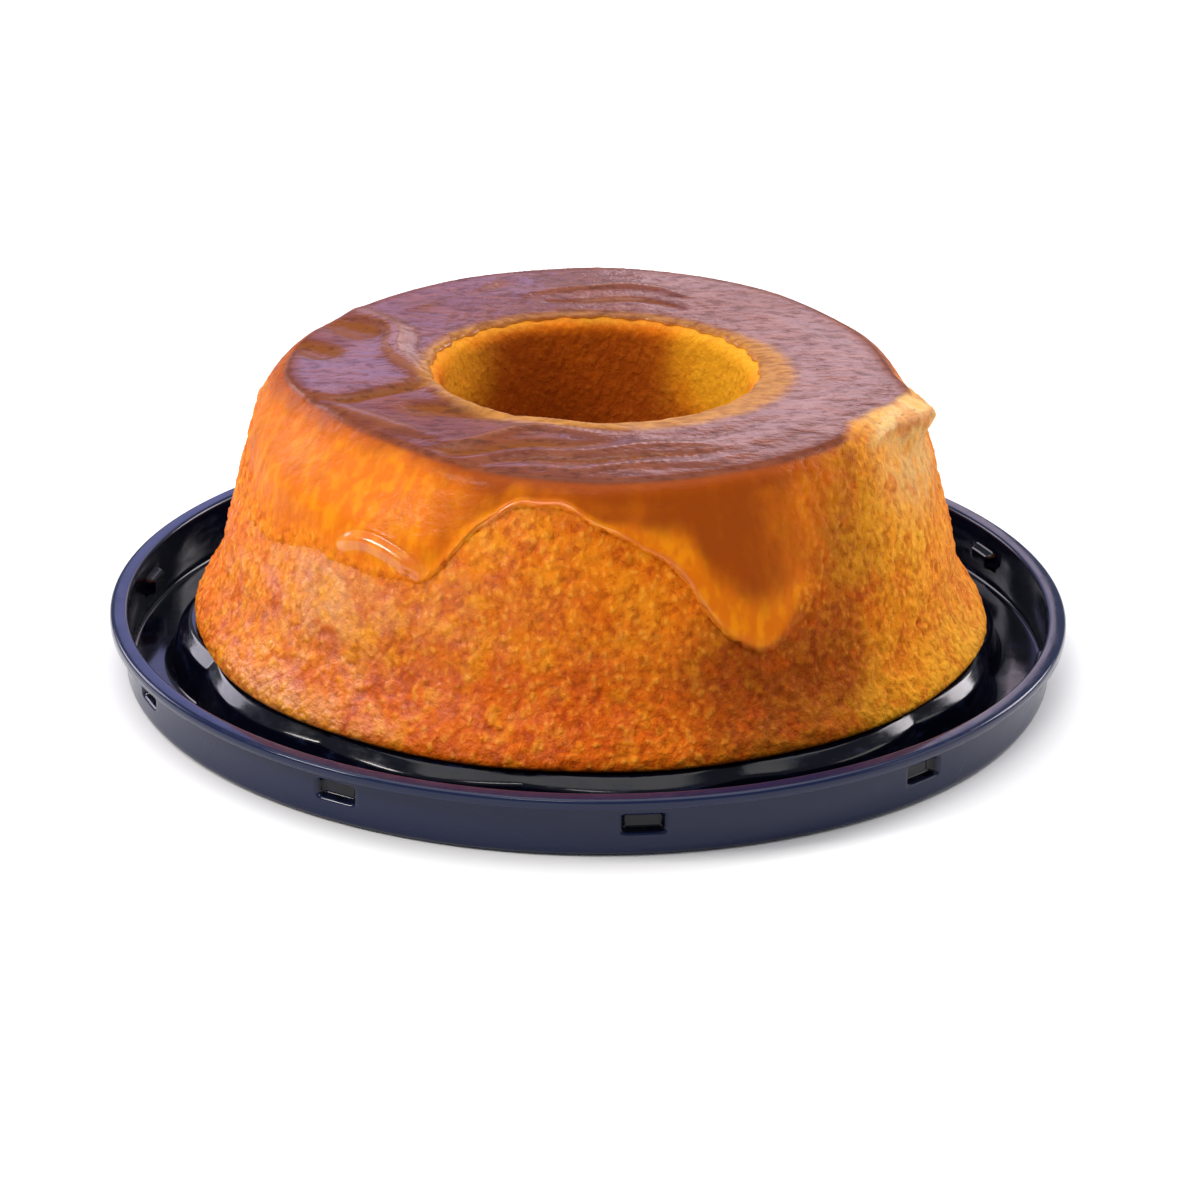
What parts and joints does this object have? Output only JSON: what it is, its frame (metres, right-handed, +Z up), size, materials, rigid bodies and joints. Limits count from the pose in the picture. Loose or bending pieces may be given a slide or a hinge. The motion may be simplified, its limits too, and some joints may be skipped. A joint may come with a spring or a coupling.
{
  "type": "orange ring cake on a tray",
  "caption": "Ring-shaped orange sponge cake with a shiny orange glaze over its top and side, standing on a round black plastic tray with a raised platform.",
  "frame": {"origin": "centre of the tray's underside, on the surface that it stands on", "axes": "+Z up, along the ring's axis; -Y is the front"},
  "size_m": [0.26, 0.26, 0.0849],
  "materials": {
    "tray_plastic": "gloss",
    "sponge": "moist open crumb",
    "glaze": "wet gloss"
  },
  "bodies": {
    "root": {"tray": "tray_plastic", "sponge_cake": "sponge", "orange_glaze": "glaze"}
  },
  "joints": []
}
